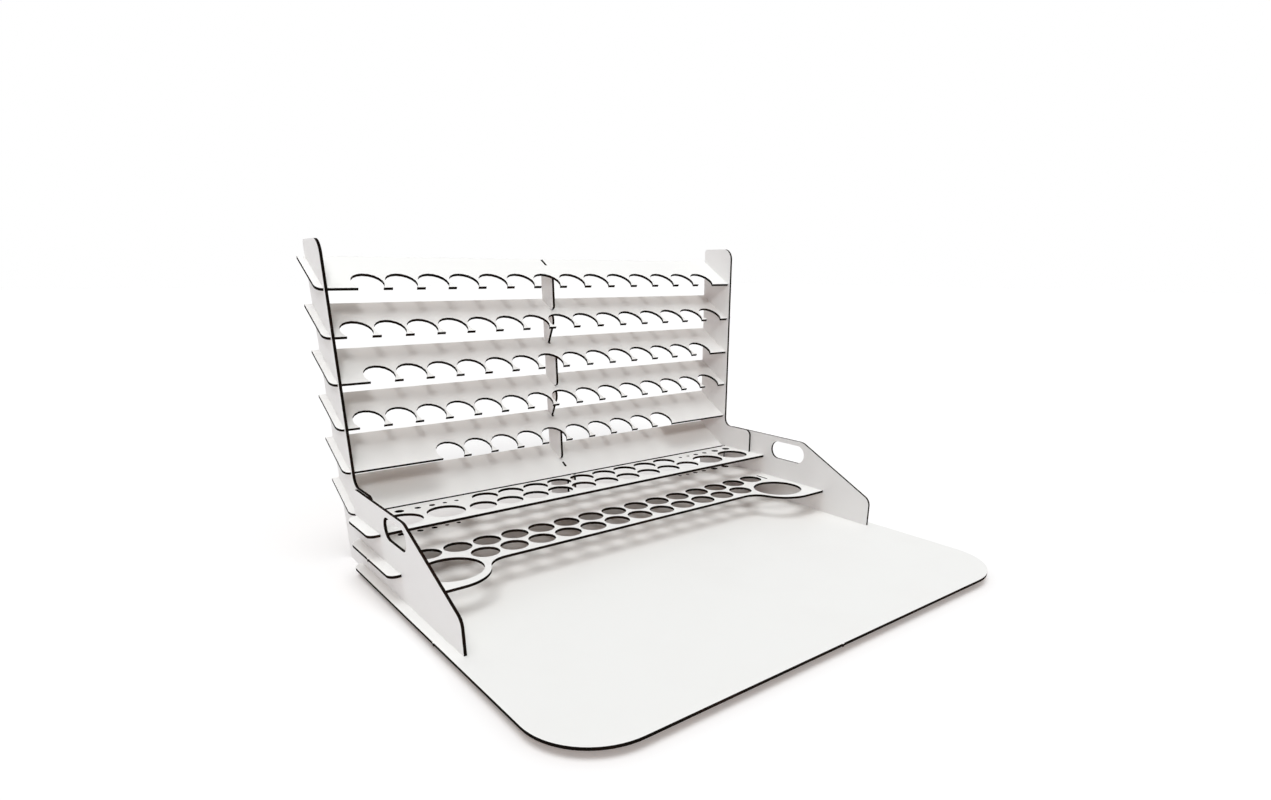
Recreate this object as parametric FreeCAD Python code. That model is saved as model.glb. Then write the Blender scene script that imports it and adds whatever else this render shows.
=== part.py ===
import FreeCAD, Part
import math
import os

# Hobby workstation organizer: a work board with two side arms, two perforated trays between the
# arms, and a rack of six sloping shelves behind them.  Every piece is cut from one sheet and
# joined by cross-lap slots and tenons.
#
# Each piece is drawn flat, as a profile with its cut-outs, and extruded by the sheet.  Pieces are
# drawn with y = 0 at the shelves' front edges and z = 0 on the work board.  In the finished frame
# +X is right, +Y is to the rear and +Z is up, and the origin is on the floor under the middle of
# the overall footprint.

V = FreeCAD.Vector

# ---- driving dimensions, millimetres ---------------------------------------------------------
sheet = 3.0                 # thickness of every cut panel
fit = 0.05                  # clearance on each side of a slot
rack_gap = 0.3              # between the board with its arms and the rack behind them
round_sides = 18            # flats round each of the many small holes, to keep facets few
tool_hole_sides = 12

# work board
board_margin = 10.6         # board past the arms' outer faces
board_front = 451.7         # from the shelves' front edges forward to the board's front edge
board_front_radius = 64.0
board_rear_radius = 12.0
pad_height = 8.0            # rubber pads under the board
pad_width = 14.0
pad_taper = 1.5             # a pad's foot is narrower by this on each side
pad_inset_side = 47.0
pad_inset_front = 52.0
pad_inset_rear = 46.0

# rack's side panels
rack_inner_width = 541.2    # between the side panels
panel_front = 3.7           # side panels stand this far in front of the shelves' front edges
panel_depth = 53.5
panel_head = 46.9           # panel above the front edge of the highest shelf
panel_head_front_radius = 14.0
panel_head_rear_radius = 4.0
toe_reach = 56.6            # toe's front, forward of the shelves' front edges
toe_height = 31.1           # toe above the upper tray
toe_corner_radius = 8.0
toe_fillet = 11.0
toe_tenon_inset = 16.6      # from the toe's front back to its tenon
toe_tenon_length = 22.0

# shelves
shelf_count = 6
shelf_angle = 30.0          # front edges low
shelf_depth = 60.0          # along the slope
shelf_pitch = 46.4          # vertical step from one shelf to the next
lowest_shelf_drop = 1.8     # middle of the lowest shelf's front edge, below the upper tray's top
shelf_ear = 7.4             # how far shelves stand out past the side panels
shelf_ear_radius = 7.0
panel_lap = 28.0            # slope distance from a shelf's front to the bottom of its side slots
divider_lap = 45.6          # the same to the front of its slot for the divider
notch_diameter = 32.5       # round bottle notches, open through a shelf's front edge
notch_middle = 10.2         # slope distance from the front edge to a notch's centre
notch_pitch = 35.0
notch_end_margin = 8.0      # least board between a side panel and the first notch
short_row_notches = 10      # on the lowest shelf that has notches

# centre divider, between the shelves, and centre leg, under the lowest shelf
finger_front = 24.3         # upright finger edges, behind the shelves' front edges
finger_front_lowest = 20.3
finger_round = 5.0
finger_square_lap = 48.4    # square fingers, slope distance on the shelf below
finger_square_round = 13.0
leg_front = 7.8
leg_tenon_start = 14.5      # slope distance to the tenon in the lowest shelf
leg_tenon_length = 9.0
hook_width = 5.9            # prong that holds the trays' rear edges
hook_drop = 4.6             # hook's bridge below the lower tray

# side arms
arm_top = 87.2
arm_front = 269.5
arm_nose = 33.0             # height of the nose corner before rounding
arm_shoulder = 154.4        # where the level top turns into the slope
arm_rear_radius = 14.0
arm_shoulder_radius = 20.0
arm_nose_radius = 12.0
handle_middle = 128.5
handle_edge = 6.2           # arm left above the hand slot
handle_length = 60.0
handle_width = 24.0
arm_tenon_count = 3
arm_tenon_length = 30.0

# trays
tray_tab = 12.1             # trays past the arms' outer faces
tray_rear = 7.5             # trays' rear edges, forward of the shelves' front edges
tray_rear_radius = 16.0
upper_tray_top = 56.5
upper_tray_front = 84.0
upper_tray_corner = 7.0
upper_tray_lap = 44.0
lower_tray_top = 29.6
lower_tray_front = 149.5    # straight front edge between the jar lobes
lower_tray_tab_front = 133.6
lower_tray_corner = 8.0
lower_tray_lap = 68.0

# holes in the trays; insets are measured inward from the side panels
bottle_diameter = 30.0
bottle_pitch = 33.74
upper_rear_row = 26.5       # distances forward of the shelves' front edges
upper_front_row = 57.4
lower_rear_row = 96.7
lower_front_row = 127.9
least_web = 1.5             # least board left between a bottle hole and the next hole outward
pot_diameter = 42.0
pot_row = 52.3
pot_insets = (77.1, 29.1)
tool_row = 22.3
tool_insets = (102.1, 88.0, 73.0, 56.3, 35.6, 13.6)
tool_diameters = (5.0, 5.0, 7.0, 7.0, 10.0, 11.0)
blade_inset = 13.9
blade_row = 99.0
blade_slot_length = 20.0
jar_diameter = 64.0
jar_inset = 37.6
jar_row = 151.0
jar_rim_front = 13.0        # board left in front of a jar hole
jar_rim_side = 6.0          # board left beside it, towards the middle
lobe_fillet = 25.0

# stubs left where the sheet's holding tabs were snapped off
stub_length = 2.2
stub_height = 0.8
board_side_stub = 230.4
board_front_stub = 5.0
tray_side_stub = 72.7

# ---- derived places --------------------------------------------------------------------------
slope = math.radians(shelf_angle)
half_sheet = sheet / 2
panel_in = rack_inner_width / 2
panel_out = panel_in + sheet
panel_rear = panel_depth - panel_front
arm_out = panel_out + sheet
arm_rear = panel_front + rack_gap
board_half = arm_out + board_margin
tray_half = arm_out + tray_tab
shelf_half = panel_out + shelf_ear
floor = -sheet - pad_height
upper_tray_bottom = upper_tray_top - sheet
lower_tray_bottom = lower_tray_top - sheet
lowest_shelf = upper_tray_top - lowest_shelf_drop
shelf_z = [lowest_shelf + (shelf_count - 1 - i) * shelf_pitch for i in range(shelf_count)]
shelf_rear = shelf_depth * math.cos(slope) + half_sheet * math.sin(slope)
hook_front = panel_front + hook_width
tenon_middles = [arm_rear + (arm_front - arm_rear) * (i + 0.5) / arm_tenon_count
                 for i in range(arm_tenon_count)]
front_reach = board_front + stub_height
rear_reach = max(panel_rear, shelf_rear)
to_frame = V(0, (front_reach - rear_reach) / 2, -floor)


# ---- flat profiles, drawn in the X-Y plane ---------------------------------------------------
def profile(corners):
    """Face through (x, y, radius) corners, each rounded by its radius."""
    runs = []
    for i, (x, y, radius) in enumerate(corners):
        here = V(x, y, 0)
        if radius == 0:
            runs.append((here, here, here))
            continue
        before, after = corners[i - 1], corners[(i + 1) % len(corners)]
        back = (V(before[0], before[1], 0) - here).normalize()
        ahead = (V(after[0], after[1], 0) - here).normalize()
        half_angle = back.getAngle(ahead) / 2
        middle = (back + ahead).normalize()
        centre = here + middle * (radius / math.sin(half_angle))
        reach = radius / math.tan(half_angle)
        runs.append((here + back * reach, centre - middle * radius, here + ahead * reach))
    edges = []
    for i, (start, top, end) in enumerate(runs):
        following = runs[(i + 1) % len(runs)][0]
        if (end - start).Length > 1e-6:
            edges.append(Part.Arc(start, top, end).toShape())
        if (following - end).Length > 1e-6:
            edges.append(Part.makeLine(end, following))
    return Part.Face(Part.Wire(edges))


def rectangle(x0, x1, y0, y1):
    return Part.makePlane(x1 - x0, y1 - y0, V(x0, y0, 0))


def slot(x0, x1, y0, y1):
    """Rectangle with the slot clearance on all sides."""
    return rectangle(x0 - fit, x1 + fit, y0 - fit, y1 + fit)


def circle(x, y, diameter):
    return Part.Face(Part.Wire(Part.makeCircle(diameter / 2, V(x, y, 0))))


def small_round(x, y, diameter, sides):
    """One of the many small round holes, with flats that touch the circle."""
    step = 2 * math.pi / sides
    reach = diameter / 2 / math.cos(step / 2)
    return profile([(x + reach * math.cos((i + 0.5) * step), y + reach * math.sin((i + 0.5) * step), 0)
                    for i in range(sides)])


def stub(x, y, along_x):
    """What a snapped holding tab leaves on an edge."""
    dx, dy = (stub_length / 2, stub_height) if along_x else (stub_height, stub_length / 2)
    return rectangle(x - dx, x + dx, y - dy, y + dy)


def joined(faces):
    """One face from several that overlap or touch: the underside of their united sheets."""
    sheets = [face.extrude(V(0, 0, sheet)) for face in faces]
    united = sheets[0].multiFuse(sheets[1:]).removeSplitter()
    return next(face for face in united.Faces if face.BoundBox.ZMax < sheet / 2)


def both_sides(face):
    """The face and its mirror image in the middle plane x = 0."""
    return [face, face.mirror(V(0, 0, 0), V(1, 0, 0))]


def row_of(count, pitch):
    return [(i - (count - 1) / 2) * pitch for i in range(count)]


def odd_count(half_width, pitch, width):
    """Largest odd number of places, each so wide, that fits in a half width about the middle."""
    return 2 * int((half_width - width / 2) / pitch) + 1


def even_count(half_width, pitch, width):
    return 2 * int((half_width - width / 2) / pitch + 0.5)


# ---- from a flat profile to a placed sheet ---------------------------------------------------
def cut_sheet(face, holes=()):
    """The profile less its holes, extruded by the sheet."""
    if holes:
        face = face.cut(Part.makeCompound(list(holes)))
    return face.extrude(V(0, 0, sheet))


def lie(piece, z):
    """Lay a sheet level with its underside at height z."""
    piece.translate(V(0, 0, z))
    return piece.removeSplitter()


def stand(piece, x):
    """Stand a sheet up so that its drawn x runs to the rear and its drawn y runs up."""
    piece.Placement = FreeCAD.Placement(V(x, 0, 0), FreeCAD.Rotation(V(1, 1, 1), 120))
    return piece.removeSplitter()


def on_slope(along, above, z):
    """(y, z) of a point so far along and above the middle of the shelf at height z."""
    return (along * math.cos(slope) - above * math.sin(slope),
            z + along * math.sin(slope) + above * math.cos(slope))


def slope_height(above, z, y):
    """Height at y of the line that runs parallel to a shelf, so far above its middle."""
    return z + above / math.cos(slope) + y * math.tan(slope)


def slope_band(start, end, z, grow=0.0):
    """Section of the shelf at height z, from start to end along the slope, as an upright profile."""
    corners = [on_slope(start, -half_sheet - grow, z), on_slope(end, -half_sheet - grow, z),
               on_slope(end, half_sheet + grow, z), on_slope(start, half_sheet + grow, z)]
    return profile([(y, height, 0) for y, height in corners])


# ---- shelves ---------------------------------------------------------------------------------
def notch_count(index):
    """Notches alternate between an even and an odd row, end in a short row, and then none."""
    room = panel_in - notch_end_margin
    if index == shelf_count - 1:
        return 0
    if index == shelf_count - 2:
        return short_row_notches
    count = even_count if index % 2 == 0 else odd_count
    return count(room, notch_pitch, notch_diameter)


def make_shelf(index):
    outline = profile([(-shelf_half, 0, shelf_ear_radius), (shelf_half, 0, shelf_ear_radius),
                       (shelf_half, shelf_depth, 0), (-shelf_half, shelf_depth, 0)])
    holes = [small_round(x, notch_middle, notch_diameter, round_sides)
             for x in row_of(notch_count(index), notch_pitch)]
    holes += both_sides(slot(panel_in, panel_out, -1, panel_lap))
    holes.append(slot(-half_sheet, half_sheet, divider_lap, shelf_depth + 1))
    if index == shelf_count - 1:
        holes.append(slot(-half_sheet, half_sheet, leg_tenon_start, leg_tenon_start + leg_tenon_length))
    shelf = lie(cut_sheet(outline, holes), -half_sheet)
    shelf.rotate(V(0, 0, 0), V(1, 0, 0), shelf_angle)
    shelf.translate(V(0, 0, shelf_z[index]))
    return shelf


# ---- side panels -----------------------------------------------------------------------------
def make_side_panel():
    """Right-hand side panel: an upright with a toe that stands on the upper tray."""
    head = shelf_z[0] + panel_head
    toe_top = upper_tray_top + toe_height
    tenon = -toe_reach + toe_tenon_inset
    outline = profile([(-panel_front, floor, 0), (-panel_front, upper_tray_top, 0),
                       (tenon + toe_tenon_length, upper_tray_top, 0),
                       (tenon + toe_tenon_length, upper_tray_bottom, 0),
                       (tenon, upper_tray_bottom, 0), (tenon, upper_tray_top, 0),
                       (-toe_reach, upper_tray_top, 0), (-toe_reach, toe_top, toe_corner_radius),
                       (-panel_front, toe_top, toe_fillet),
                       (-panel_front, head, panel_head_front_radius),
                       (panel_rear, head, panel_head_rear_radius), (panel_rear, floor, 0)])
    slot_end = (panel_rear + sheet) / math.cos(slope)
    slots = [slope_band(panel_lap - fit, slot_end, z, fit) for z in shelf_z]
    return stand(cut_sheet(outline, slots), panel_in)


# ---- centre divider and leg ------------------------------------------------------------------
def finger(index):
    """Finger in the gap under a shelf: upright and square front edges alternate."""
    above, below = shelf_z[index], shelf_z[index + 1]
    if index % 2 == 0:
        front = finger_front_lowest if index == shelf_count - 2 else finger_front
        corners = [(front, slope_height(half_sheet, below, front), finger_round),
                   (front, slope_height(-half_sheet, above, front), 0)]
    else:
        foot = on_slope(finger_square_lap, half_sheet, below)
        head = on_slope(finger_square_lap, shelf_pitch * math.cos(slope) - half_sheet, below)
        corners = [foot + (0,), head + (finger_square_round,)]
    return profile(corners + [(panel_rear, slope_height(-half_sheet, above, panel_rear), 0),
                              (panel_rear, slope_height(half_sheet, below, panel_rear), 0)])


def crossing(z):
    """Part of the divider inside a shelf's rear slot."""
    low = on_slope(divider_lap, -half_sheet, z)
    high = on_slope(divider_lap, half_sheet, z)
    return profile([low + (0,), (panel_rear, slope_height(-half_sheet, z, panel_rear), 0),
                    (panel_rear, slope_height(half_sheet, z, panel_rear), 0), high + (0,)])


def make_divider():
    """Comb of one piece: a finger in each gap, joined through the shelves' rear slots."""
    faces = [finger(i) for i in range(shelf_count - 1)] + [crossing(z) for z in shelf_z]
    return stand(cut_sheet(joined(faces)), -half_sheet)


def make_leg():
    """Support under the lowest shelf, with a tenon through it and a hook round the trays."""
    bridge = lower_tray_bottom - hook_drop
    outline = profile([(leg_front, bridge, 0),
                       (leg_front, slope_height(-half_sheet, lowest_shelf, leg_front), 0),
                       (panel_rear, slope_height(-half_sheet, lowest_shelf, panel_rear), 0),
                       (panel_rear, floor, 0), (fit - arm_rear, floor, 0), (fit - arm_rear, 0, 0),
                       (-hook_front, 0, 0), (-hook_front, upper_tray_top, 0),
                       (-panel_front, upper_tray_top, 0), (-panel_front, bridge, 0)])
    tenon = slope_band(leg_tenon_start, leg_tenon_start + leg_tenon_length, lowest_shelf)
    return stand(cut_sheet(joined([outline, tenon])), -half_sheet)


# ---- work board ------------------------------------------------------------------------------
def make_board():
    outline = profile([(-board_half, -board_front, board_front_radius),
                       (board_half, -board_front, board_front_radius),
                       (board_half, -arm_rear, board_rear_radius),
                       (-board_half, -arm_rear, board_rear_radius)])
    stubs = both_sides(stub(board_half, -board_side_stub, False))
    stubs.append(stub(-board_front_stub, -board_front, True))
    mortises = []
    for middle in tenon_middles:
        mortises += both_sides(slot(panel_out, arm_out, -middle - arm_tenon_length / 2,
                                    -middle + arm_tenon_length / 2))
    return lie(cut_sheet(joined([outline] + stubs), mortises), -sheet)


# ---- side arms -------------------------------------------------------------------------------
def make_arm():
    """Right-hand arm, standing on the board with its tenons through it."""
    outline = profile([(-arm_rear, 0, 0), (-arm_rear, arm_top, arm_rear_radius),
                       (-arm_shoulder, arm_top, arm_shoulder_radius),
                       (-arm_front, arm_nose, arm_nose_radius), (-arm_front, 0, 0)])
    tenons = [rectangle(-middle - arm_tenon_length / 2, -middle + arm_tenon_length / 2, -sheet, 0)
              for middle in tenon_middles]
    handle_top = arm_top - handle_edge
    handle_round = handle_width / 2
    holes = [profile([(-handle_middle - handle_length / 2, handle_top, handle_round),
                      (-handle_middle + handle_length / 2, handle_top, handle_round),
                      (-handle_middle + handle_length / 2, handle_top - handle_width, handle_round),
                      (-handle_middle - handle_length / 2, handle_top - handle_width, handle_round)]),
             slot(-upper_tray_lap, 1, upper_tray_bottom, upper_tray_top),
             slot(-lower_tray_lap, 1, lower_tray_bottom, lower_tray_top)]
    return stand(cut_sheet(joined([outline] + tenons), holes), panel_out)


# ---- trays -----------------------------------------------------------------------------------
def bottle_row(row, half_width, count):
    """Row of bottle holes, as many as fit in a half width about the middle."""
    holes = count(half_width - least_web, bottle_pitch, bottle_diameter)
    return [small_round(x, -row, bottle_diameter, round_sides) for x in row_of(holes, bottle_pitch)]


def tray_cuts(lap):
    """Cut-outs that both trays share: tool holes, slots for the arms and the leg's hook."""
    cuts = []
    for inset, diameter in zip(tool_insets, tool_diameters):
        cuts += both_sides(small_round(panel_in - inset, -tool_row, diameter, tool_hole_sides))
    cuts += both_sides(slot(panel_out, arm_out, -board_front, -lap))
    cuts.append(slot(-half_sheet, half_sheet, -hook_front, 0))
    return cuts


def make_upper_tray():
    outline = profile([(-tray_half, -upper_tray_front, upper_tray_corner),
                       (tray_half, -upper_tray_front, upper_tray_corner),
                       (tray_half, -tray_rear, tray_rear_radius),
                       (-tray_half, -tray_rear, tray_rear_radius)])
    cuts = tray_cuts(upper_tray_lap)
    for inset in pot_insets:
        cuts += both_sides(circle(panel_in - inset, -pot_row, pot_diameter))
    tenon = -toe_reach + toe_tenon_inset
    cuts += both_sides(slot(panel_in, panel_out, tenon, tenon + toe_tenon_length))
    cuts += bottle_row(upper_rear_row, panel_in - tool_insets[0] - tool_diameters[0] / 2, odd_count)
    cuts += bottle_row(upper_front_row, panel_in - pot_insets[0] - pot_diameter / 2, even_count)
    return lie(cut_sheet(outline, cuts), upper_tray_bottom)


def lobed_half():
    """Right half of the lower tray, with a straight front that swells into a lobe round the jar hole."""
    jar_x = panel_in - jar_inset
    radius = jar_diameter / 2 + jar_rim_front
    centre = V(jar_x - jar_diameter / 2 - jar_rim_side + radius, -jar_row, 0)
    fillet_y = -lower_tray_front - lobe_fillet
    between = radius + lobe_fillet
    fillet_centre = V(centre.x - math.sqrt(between ** 2 - (centre.y - fillet_y) ** 2), fillet_y, 0)
    line_of_centres = V(fillet_centre - centre).normalize()
    meet = centre + line_of_centres * radius
    turn_in = V(line_of_centres * -1 + V(0, 1, 0)).normalize()
    turn_out = V(line_of_centres + V(0, -1, 0)).normalize()
    start = fillet_centre + V(0, lobe_fillet, 0)
    low = centre + V(0, -radius, 0)
    inner = [Part.makeLine(V(0, 0, 0), V(0, start.y, 0)), Part.makeLine(V(0, start.y, 0), start),
             Part.Arc(start, fillet_centre + turn_in * lobe_fillet, meet).toShape(),
             Part.Arc(meet, centre + turn_out * radius, low).toShape(),
             Part.makeLine(low, V(panel_out, low.y, 0)),
             Part.makeLine(V(panel_out, low.y, 0), V(panel_out, 0, 0)),
             Part.makeLine(V(panel_out, 0, 0), V(0, 0, 0))]
    tab = profile([(0, -lower_tray_tab_front, 0), (tray_half, -lower_tray_tab_front, lower_tray_corner),
                   (tray_half, -tray_rear, tray_rear_radius), (0, -tray_rear, 0)])
    behind = rectangle(-1, tray_half, -tray_rear, 1)
    return joined([Part.Face(Part.Wire(inner)).cut(behind), tab])


def make_lower_tray():
    jar_x = panel_in - jar_inset
    jar_chord = math.sqrt(max(0.0, (jar_diameter / 2) ** 2 - (jar_row - lower_front_row) ** 2))
    outline = joined(both_sides(lobed_half()) + both_sides(stub(tray_half, -tray_side_stub, False)))
    cuts = tray_cuts(lower_tray_lap)
    cuts += both_sides(circle(jar_x, -jar_row, jar_diameter))
    blade_x = panel_in - blade_inset
    cuts += both_sides(rectangle(blade_x - half_sheet, blade_x + half_sheet,
                                 -blade_row - blade_slot_length / 2, -blade_row + blade_slot_length / 2))
    cuts += bottle_row(lower_rear_row, blade_x - half_sheet, odd_count)
    cuts += bottle_row(lower_front_row, jar_x - jar_chord, even_count)
    return lie(cut_sheet(outline, cuts), lower_tray_bottom)


# ---- pads ------------------------------------------------------------------------------------
def make_pad(x, y):
    """Square rubber pad that narrows towards the floor."""
    rings = []
    for z, half in ((floor, pad_width / 2 - pad_taper), (-sheet, pad_width / 2)):
        ring = rectangle(x - half, x + half, y - half, y + half).OuterWire
        ring.translate(V(0, 0, z))
        rings.append(ring)
    return Part.makeLoft(rings, True, True)


# ---- assembly --------------------------------------------------------------------------------
def left_of(piece):
    return piece.mirror(V(0, 0, 0), V(1, 0, 0))


side_panel = make_side_panel()
arm = make_arm()
nodes = {
    "base_board": make_board(),
    "right_arm": arm,
    "left_arm": left_of(arm),
    "right_side_panel": side_panel,
    "left_side_panel": left_of(side_panel),
    "centre_divider": make_divider(),
    "centre_leg": make_leg(),
    "upper_tray": make_upper_tray(),
    "lower_tray": make_lower_tray(),
}
for number in range(shelf_count):
    nodes["shelf_%d" % (number + 1)] = make_shelf(number)
for side, x in (("left", -board_half + pad_inset_side), ("right", board_half - pad_inset_side)):
    nodes["pad_front_" + side] = make_pad(x, -board_front + pad_inset_front)
    nodes["pad_rear_" + side] = make_pad(x, -arm_rear - pad_inset_rear)

os.makedirs("parts", exist_ok=True)
for name, shape in nodes.items():
    placed = shape.Solids[0]
    placed.translate(to_frame)
    placed.exportStep("parts/%s.step" % name)
    print(name, len(shape.Solids), "solid", "valid" if placed.isValid() else "INVALID",
          "%.1f cm3" % (placed.Volume / 1000))
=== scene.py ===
"""Studio scene for the hobby workstation organizer.

Every sheet keeps its CAD solid.  This script gives the sheets white lacquered faces, raw brown
undersides and dark laser-cut edges, gives the pads rubber, and sets the floor, the lamps and the
camera.
"""
import math

import bpy
from mathutils import Matrix, Vector

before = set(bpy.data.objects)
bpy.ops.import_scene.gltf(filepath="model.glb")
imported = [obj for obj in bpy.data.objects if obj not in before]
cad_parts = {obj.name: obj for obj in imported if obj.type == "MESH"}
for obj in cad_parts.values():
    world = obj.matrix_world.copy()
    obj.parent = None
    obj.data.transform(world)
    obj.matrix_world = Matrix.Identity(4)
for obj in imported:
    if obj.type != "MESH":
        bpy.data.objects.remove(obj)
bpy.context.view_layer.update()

# ---- camera, in metres and degrees -----------------------------------------------------------
CAMERA_PLACE = (-0.48327, -0.59184, 0.31624)
CAMERA_YAW = 38.437         # turned right from looking along +Y
CAMERA_PITCH = 20.64        # looking down
CAMERA_ROLL = 0.241
CAMERA_CLIP = 0.01          # nearest distance that it sees
SENSOR_WIDTH = 36.0         # mm
LENS = 20.508               # mm
SHIFT_X = -0.01718
SHIFT_Y = 0.11283

# ---- sheet orientations: the direction square to a sheet's faces -----------------------------
SHELF_SLOPE = math.radians(30)
LEVEL = (0, 0, 1)
UPRIGHT = (1, 0, 0)
SLOPED = (0, -math.sin(SHELF_SLOPE), math.cos(SHELF_SLOPE))
FACE_LIMIT = 0.9            # how closely a face follows that direction; the rest are cut edges

# ---- colours, linear -------------------------------------------------------------------------
LACQUER = (0.885, 0.89, 0.875, 1)
LACQUER_SHADE = (0.865, 0.865, 0.85, 1)
RAW_BOARD = (0.32, 0.175, 0.085, 1)
RAW_BOARD_DARK = (0.20, 0.10, 0.045, 1)
CHAR = (0.004, 0.003, 0.002, 1)
CHAR_LIGHT = (0.024, 0.011, 0.008, 1)
RUBBER = (0.012, 0.012, 0.012, 1)
RUBBER_WORN = (0.03, 0.03, 0.03, 1)
FLOOR = (0.95, 0.95, 0.95, 1)
WHITE = (1, 1, 1, 1)
LEFT_TINT = (1.0, 0.50, 0.66, 1)

# ---- detail, in cells to the metre -----------------------------------------------------------
LACQUER_CLOUDS = 9.0
LACQUER_SWELL = 60.0
LACQUER_TOOTH = 900.0
LACQUER_TOOTH_SHARE = 0.35  # height of the tooth beside that of the swell
CHAR_LINES_THROUGH = 25.0   # along a scorch line, from one face of the sheet to the other
CHAR_LINES_ACROSS = 700.0   # from one scorch line to the next
CHAR_PATCHES = 22.0
RAW_FLECKS = 420.0
RAW_CLOUDS = 14.0
RAW_SCREEN = 620.0          # print of the press screen
RAW_FLECK_SHARE = 0.7       # of the raw board's colour; its clouds have the rest
RUBBER_GRAIN = 600.0
RUBBER_WEAR = 80.0

# ---- light -----------------------------------------------------------------------------------
FLOOR_LIFT = 0.08           # light that the floor gives to the camera alone
SKY = 0.42                  # surrounding light on the object, where 1 is white
SKY_FRONT_SHARE = 0.08      # more of it from the front, and as much less from the rear
TINT_SIDE = (-0.2, -0.7)    # the left tint grows as a direction's X goes from one to the other
TINT_HEIGHT = (0.35, 0.05)  # and as its Z does
FLOOR_SIZE = 30.0


# ---- node helpers ----------------------------------------------------------------------------
def new_material(name):
    """Empty node material, with its tree and output."""
    material = bpy.data.materials.new(name)
    material.use_nodes = True
    tree = material.node_tree
    tree.nodes.clear()
    return material, tree, tree.nodes.new("ShaderNodeOutputMaterial")


def add(tree, kind, settings=None, **inputs):
    """New node of a kind; settings are its properties, inputs are values or sockets to link.

    An input goes by its name, or by its number as i0, i1 and so on.
    """
    node = tree.nodes.new(kind)
    for key, value in (settings or {}).items():
        setattr(node, key, value)
    for key, value in inputs.items():
        numbered = key[0] == "i" and key[1:].isdigit()
        socket = node.inputs[int(key[1:]) if numbered else key]
        if isinstance(value, bpy.types.NodeSocket):
            tree.links.new(value, socket)
        else:
            socket.default_value = value
    return node


def math_node(tree, operation, a, b=0.0):
    return add(tree, "ShaderNodeMath", {"operation": operation}, i0=a, i1=b).outputs[0]


def noise(tree, vector, scale, detail=3.0, roughness=0.5):
    return add(tree, "ShaderNodeTexNoise", None, Vector=vector, Scale=scale, Detail=detail,
               Roughness=roughness).outputs[0]


def ranged(tree, value, start, end):
    """0 to 1 as value goes from start to end."""
    return add(tree, "ShaderNodeMapRange", {"clamp": True}, Value=value, i1=start,
               i2=end).outputs[0]


def ramp(tree, value, low, high, start=0.0, end=1.0):
    """Blend between two colours as value goes from start to end."""
    return add(tree, "ShaderNodeMix", {"data_type": "RGBA"}, i0=ranged(tree, value, start, end),
               i6=low, i7=high).outputs[2]


def bumped(tree, height, strength, depth):
    """Normal of a surface with so much relief, its depth in metres."""
    return add(tree, "ShaderNodeBump", None, Strength=strength, Distance=depth,
               Height=height).outputs[0]


def principled(tree, colour, roughness, normal, specular=0.5):
    return add(tree, "ShaderNodeBsdfPrincipled", None, Roughness=roughness, Normal=normal,
               **{"Base Color": colour, "Specular IOR Level": specular}).outputs[0]


def mixed(tree, share, first, second):
    """First shader where share is 0 and second where it is 1."""
    return add(tree, "ShaderNodeMixShader", None, i0=share, i1=first, i2=second).outputs[0]


def object_place(tree):
    return add(tree, "ShaderNodeTexCoord").outputs["Object"]


# ---- materials -------------------------------------------------------------------------------
def lacquer_shader(tree, place):
    """Satin white lacquer: faint cloudiness, fine tooth and a slight swell."""
    clouds = noise(tree, place, LACQUER_CLOUDS, detail=4.0, roughness=0.6)
    colour = ramp(tree, clouds, LACQUER, LACQUER_SHADE, start=0.45, end=0.95)
    tooth = noise(tree, place, LACQUER_TOOTH, detail=2.0)
    swell = noise(tree, place, LACQUER_SWELL, detail=2.0)
    height = math_node(tree, "ADD", math_node(tree, "MULTIPLY", tooth, LACQUER_TOOTH_SHARE), swell)
    satin = add(tree, "ShaderNodeMapRange", None, Value=swell, i3=0.42, i4=0.56).outputs[0]
    return principled(tree, colour, satin, bumped(tree, height, strength=0.12, depth=0.0002),
                      specular=0.35)


def char_shader(tree, place, normal):
    """Laser-cut edge: charred fibreboard with scorch lines running through the sheet."""
    cells = [CHAR_LINES_ACROSS * (1 - abs(n)) + CHAR_LINES_THROUGH * abs(n) for n in normal]
    lines = add(tree, "ShaderNodeMapping", None, Vector=place, Scale=cells).outputs[0]
    scorch = noise(tree, lines, 1.0, detail=3.0, roughness=0.6)
    tone = math_node(tree, "MULTIPLY", scorch, noise(tree, place, CHAR_PATCHES))
    colour = ramp(tree, tone, CHAR, CHAR_LIGHT, start=0.2, end=0.5)
    return principled(tree, colour, 0.9, bumped(tree, scorch, strength=0.4, depth=0.0003),
                      specular=0.04)


def raw_shader(tree, place):
    """Unpainted hardboard: matted fibres, darker flecks and the print of the press screen."""
    flecks = noise(tree, place, RAW_FLECKS, detail=4.0, roughness=0.7)
    clouds = noise(tree, place, RAW_CLOUDS)
    tone = math_node(tree, "ADD", math_node(tree, "MULTIPLY", flecks, RAW_FLECK_SHARE),
                     math_node(tree, "MULTIPLY", clouds, 1 - RAW_FLECK_SHARE))
    colour = ramp(tree, tone, RAW_BOARD_DARK, RAW_BOARD, start=0.38, end=0.60)
    screen = add(tree, "ShaderNodeTexVoronoi", {"feature": "F1"}, Vector=place, Scale=RAW_SCREEN,
                 Randomness=0.15).outputs["Distance"]
    height = math_node(tree, "ADD", screen, flecks)
    return principled(tree, colour, 0.8, bumped(tree, height, strength=0.35, depth=0.0003),
                      specular=0.2)


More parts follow.
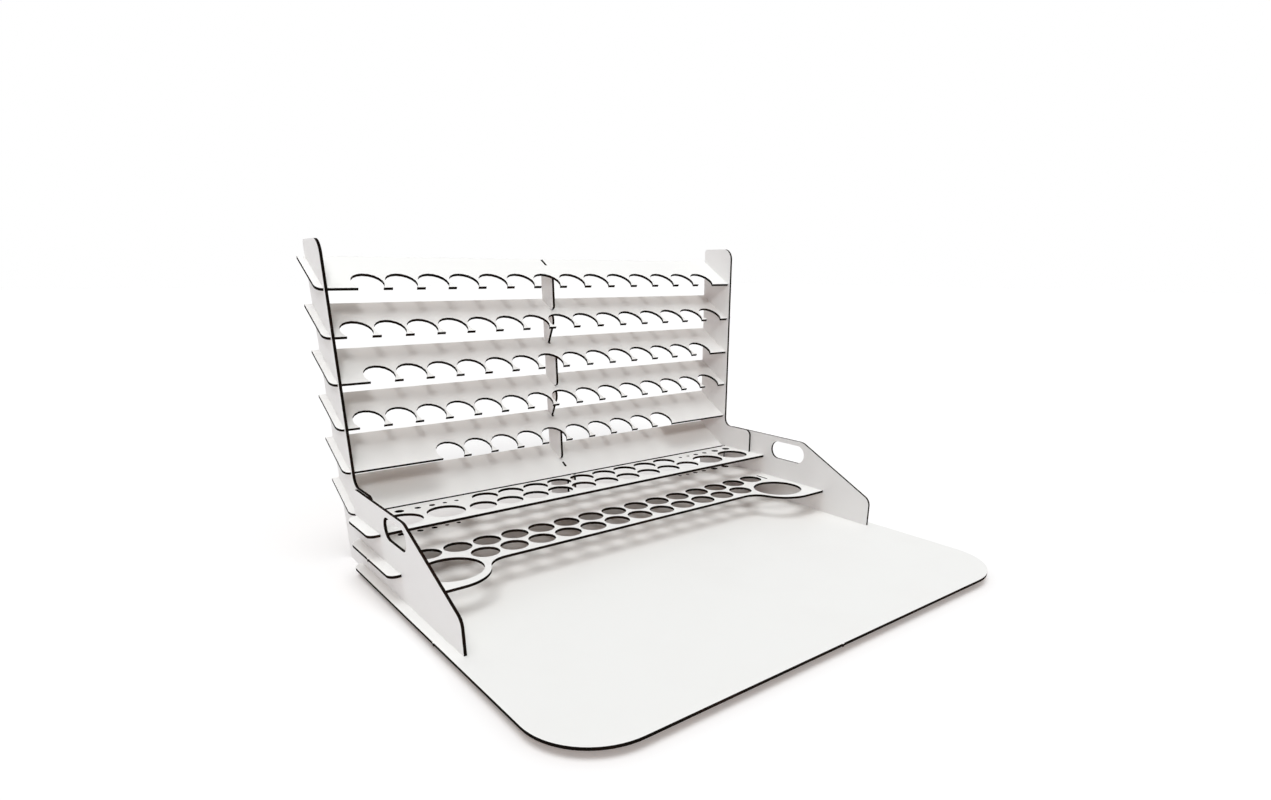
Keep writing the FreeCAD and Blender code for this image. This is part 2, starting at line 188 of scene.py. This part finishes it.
def sheet_material(name, normal, raw_underside):
    """White on the faces square to normal, or on the upper one alone, and charred on cut edges."""
    material, tree, output = new_material(name)
    place = object_place(tree)
    facing = add(tree, "ShaderNodeNewGeometry").outputs["True Normal"]
    along = add(tree, "ShaderNodeVectorMath", {"operation": "DOT_PRODUCT"}, i0=facing,
                i1=normal).outputs["Value"]
    painted = along if raw_underside else math_node(tree, "ABSOLUTE", along)
    white = math_node(tree, "GREATER_THAN", painted, FACE_LIMIT)
    shader = mixed(tree, white, char_shader(tree, place, normal), lacquer_shader(tree, place))
    if raw_underside:
        under = math_node(tree, "LESS_THAN", along, -FACE_LIMIT)
        shader = mixed(tree, under, shader, raw_shader(tree, place))
    tree.links.new(shader, output.inputs["Surface"])
    return material


def rubber_material():
    """Dull black rubber with a fine grain and worn patches."""
    material, tree, output = new_material("pad_rubber")
    place = object_place(tree)
    colour = ramp(tree, noise(tree, place, RUBBER_WEAR), RUBBER, RUBBER_WORN)
    grain = bumped(tree, noise(tree, place, RUBBER_GRAIN), strength=0.3, depth=0.0002)
    tree.links.new(principled(tree, colour, 0.8, grain), output.inputs["Surface"])
    return material


def dress(names, material):
    """Give CAD nodes a material."""
    for name in names:
        piece = bpy.data.objects[name]
        for slot in piece.material_slots:
            slot.material = material
        if not piece.material_slots:
            piece.data.materials.append(material)


# ---- studio ----------------------------------------------------------------------------------
def floor_material():
    """Matt pale floor, which keeps the object's shadow."""
    material, tree, output = new_material("studio_floor")
    matt = add(tree, "ShaderNodeBsdfDiffuse", None, Color=FLOOR)
    seen = add(tree, "ShaderNodeLightPath").outputs["Is Camera Ray"]
    lift = add(tree, "ShaderNodeEmission", None,
               Strength=math_node(tree, "MULTIPLY", seen, FLOOR_LIFT))
    both = add(tree, "ShaderNodeAddShader", None, i0=matt.outputs[0], i1=lift.outputs[0])
    tree.links.new(both.outputs[0], output.inputs["Surface"])
    return material


def add_floor():
    half = FLOOR_SIZE / 2
    mesh = bpy.data.meshes.new("studio_floor")
    corners = [(-half, -half, 0), (half, -half, 0), (half, half, 0), (-half, half, 0)]
    mesh.from_pydata(corners, [], [(0, 1, 2, 3)])
    mesh.materials.append(floor_material())
    floor = bpy.data.objects.new("studio_floor", mesh)
    bpy.context.scene.collection.objects.link(floor)


def add_sun(name, source, strength, softness):
    """Distant lamp shining from the direction of source, with its apparent size in degrees."""
    lamp = bpy.data.lights.new(name, "SUN")
    lamp.energy = strength
    lamp.angle = math.radians(softness)
    sun = bpy.data.objects.new(name, lamp)
    sun.rotation_euler = Vector(source).to_track_quat("Z", "Y").to_euler()
    bpy.context.scene.collection.objects.link(sun)


def set_world():
    """White to the camera and in reflections; otherwise soft light, a little more from the front.

    What comes from low on the left is tinted.
    """
    world = bpy.data.worlds.new("studio")
    world.use_nodes = True
    bpy.context.scene.world = world
    tree = world.node_tree
    tree.nodes.clear()
    way = add(tree, "ShaderNodeSeparateXYZ", None,
              i0=add(tree, "ShaderNodeTexCoord").outputs["Generated"]).outputs
    soft = math_node(tree, "SUBTRACT", SKY, math_node(tree, "MULTIPLY", way["Y"], SKY_FRONT_SHARE))
    path = add(tree, "ShaderNodeLightPath").outputs
    seen = math_node(tree, "MAXIMUM", path["Is Camera Ray"], path["Is Glossy Ray"])
    level = add(tree, "ShaderNodeMix", {"data_type": "FLOAT"}, i0=seen, i2=soft, i3=1.0).outputs[0]
    from_left = math_node(tree, "MULTIPLY", ranged(tree, way["X"], *TINT_SIDE),
                          ranged(tree, way["Z"], *TINT_HEIGHT))
    tinted = math_node(tree, "MULTIPLY", from_left, math_node(tree, "SUBTRACT", 1.0, seen))
    sky = add(tree, "ShaderNodeBackground", None, Color=ramp(tree, tinted, WHITE, LEFT_TINT),
              Strength=level)
    output = tree.nodes.new("ShaderNodeOutputWorld")
    tree.links.new(sky.outputs[0], output.inputs["Surface"])


def add_camera():
    """Camera turned by yaw and pitch, then rolled about its own line of sight."""
    yaw, pitch, roll = (math.radians(a) for a in (CAMERA_YAW, CAMERA_PITCH, CAMERA_ROLL))
    ahead = Vector((math.sin(yaw) * math.cos(pitch), math.cos(yaw) * math.cos(pitch),
                    -math.sin(pitch)))
    level_right = Vector((math.cos(yaw), -math.sin(yaw), 0))
    level_up = level_right.cross(ahead)
    right = math.cos(roll) * level_right + math.sin(roll) * level_up
    up = math.cos(roll) * level_up - math.sin(roll) * level_right
    data = bpy.data.cameras.new("studio_camera")
    data.lens = LENS
    data.sensor_width = SENSOR_WIDTH
    data.sensor_fit = "HORIZONTAL"
    data.shift_x = SHIFT_X
    data.shift_y = SHIFT_Y
    data.clip_start = CAMERA_CLIP
    camera = bpy.data.objects.new("studio_camera", data)
    turn = Matrix((right, up, -ahead)).transposed().to_4x4()
    camera.matrix_world = Matrix.Translation(CAMERA_PLACE) @ turn
    bpy.context.scene.collection.objects.link(camera)
    bpy.context.scene.camera = camera


# ---- the scene -------------------------------------------------------------------------------
level_sheets = ["base_board", "upper_tray", "lower_tray"]
upright_sheets = ["left_arm", "right_arm", "left_side_panel", "right_side_panel", "centre_divider",
                  "centre_leg"]
shelves = [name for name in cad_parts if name.startswith("shelf_")]
pads = [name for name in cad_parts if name.startswith("pad_")]

dress(level_sheets, sheet_material("lacquered_level_sheet", LEVEL, raw_underside=True))
dress(upright_sheets, sheet_material("lacquered_upright_sheet", UPRIGHT, raw_underside=False))
dress(shelves, sheet_material("lacquered_shelf", SLOPED, raw_underside=True))
dress(pads, rubber_material())

add_floor()
set_world()
add_sun("front_key", source=(-0.32, -0.78, 0.54), strength=0.84, softness=12)
add_sun("overhead_light", source=(-0.10, -0.08, 0.99), strength=1.40, softness=44)
add_camera()
bpy.context.scene.view_settings.view_transform = "Standard"
